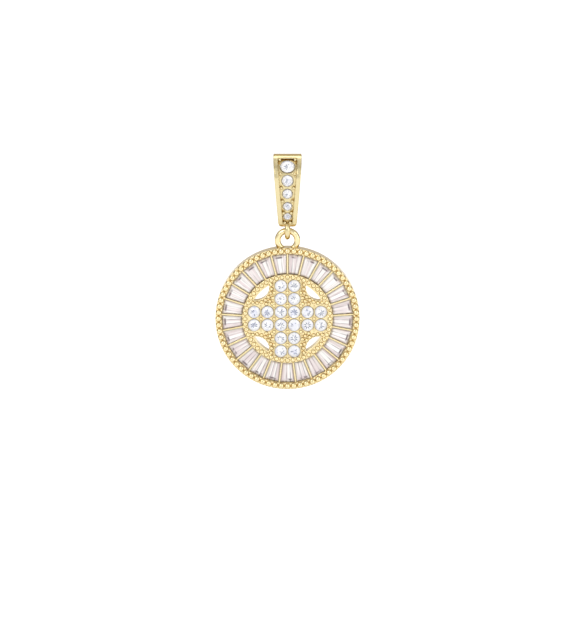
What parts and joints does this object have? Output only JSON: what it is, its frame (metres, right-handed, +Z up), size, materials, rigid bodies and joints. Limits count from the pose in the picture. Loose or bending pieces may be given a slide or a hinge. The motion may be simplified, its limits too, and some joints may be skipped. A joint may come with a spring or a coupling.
{
  "type": "medallion charm",
  "caption": "Round gold medallion charm with a ring of tapered baguettes round a cross of small round stones, hung by its ring from a tapered stone-set bail.",
  "frame": {"origin": "where the chain bears on the underside of the bail's top, in the middle of its width", "axes": "+Z up, front with the stones towards -Y, +X to the right as seen from the front"},
  "size_m": [0.0162, 0.0037, 0.0266],
  "materials": {
    "gold": "polished light yellow gold plating",
    "clear_stone": "faceted, clear, white",
    "blush_stone": "step cut, clear, faint pink"
  },
  "bodies": {
    "bail": {"bail": "gold", "bail_stone_1": "clear_stone", "bail_stone_2": "clear_stone", "bail_stone_3": "clear_stone", "bail_stone_4": "clear_stone", "bail_stone_5": "clear_stone"},
    "medallion": {"medallion_frame": "gold", "cross_stones": "clear_stone", "baguette_01": "blush_stone", "baguette_02": "blush_stone", "baguette_03": "blush_stone", "baguette_04": "blush_stone", "baguette_05": "blush_stone", "baguette_06": "blush_stone", "baguette_07": "blush_stone", "baguette_08": "blush_stone", "baguette_09": "blush_stone", "baguette_10": "blush_stone", "baguette_11": "blush_stone", "baguette_12": "blush_stone", "baguette_13": "blush_stone", "baguette_14": "blush_stone", "baguette_15": "blush_stone", "baguette_16": "blush_stone", "baguette_17": "blush_stone", "baguette_18": "blush_stone", "baguette_19": "blush_stone", "baguette_20": "blush_stone", "baguette_21": "blush_stone", "baguette_22": "blush_stone", "baguette_23": "blush_stone", "baguette_24": "blush_stone", "baguette_25": "blush_stone"}
  },
  "joints": [
    {"name": "medallion_swing", "type": "hinge", "parent": "bail", "child": "medallion", "pos_m": [0, 0, -0.00797], "axis": [1, 0, 0], "range_deg": [-85, 85]}
  ]
}
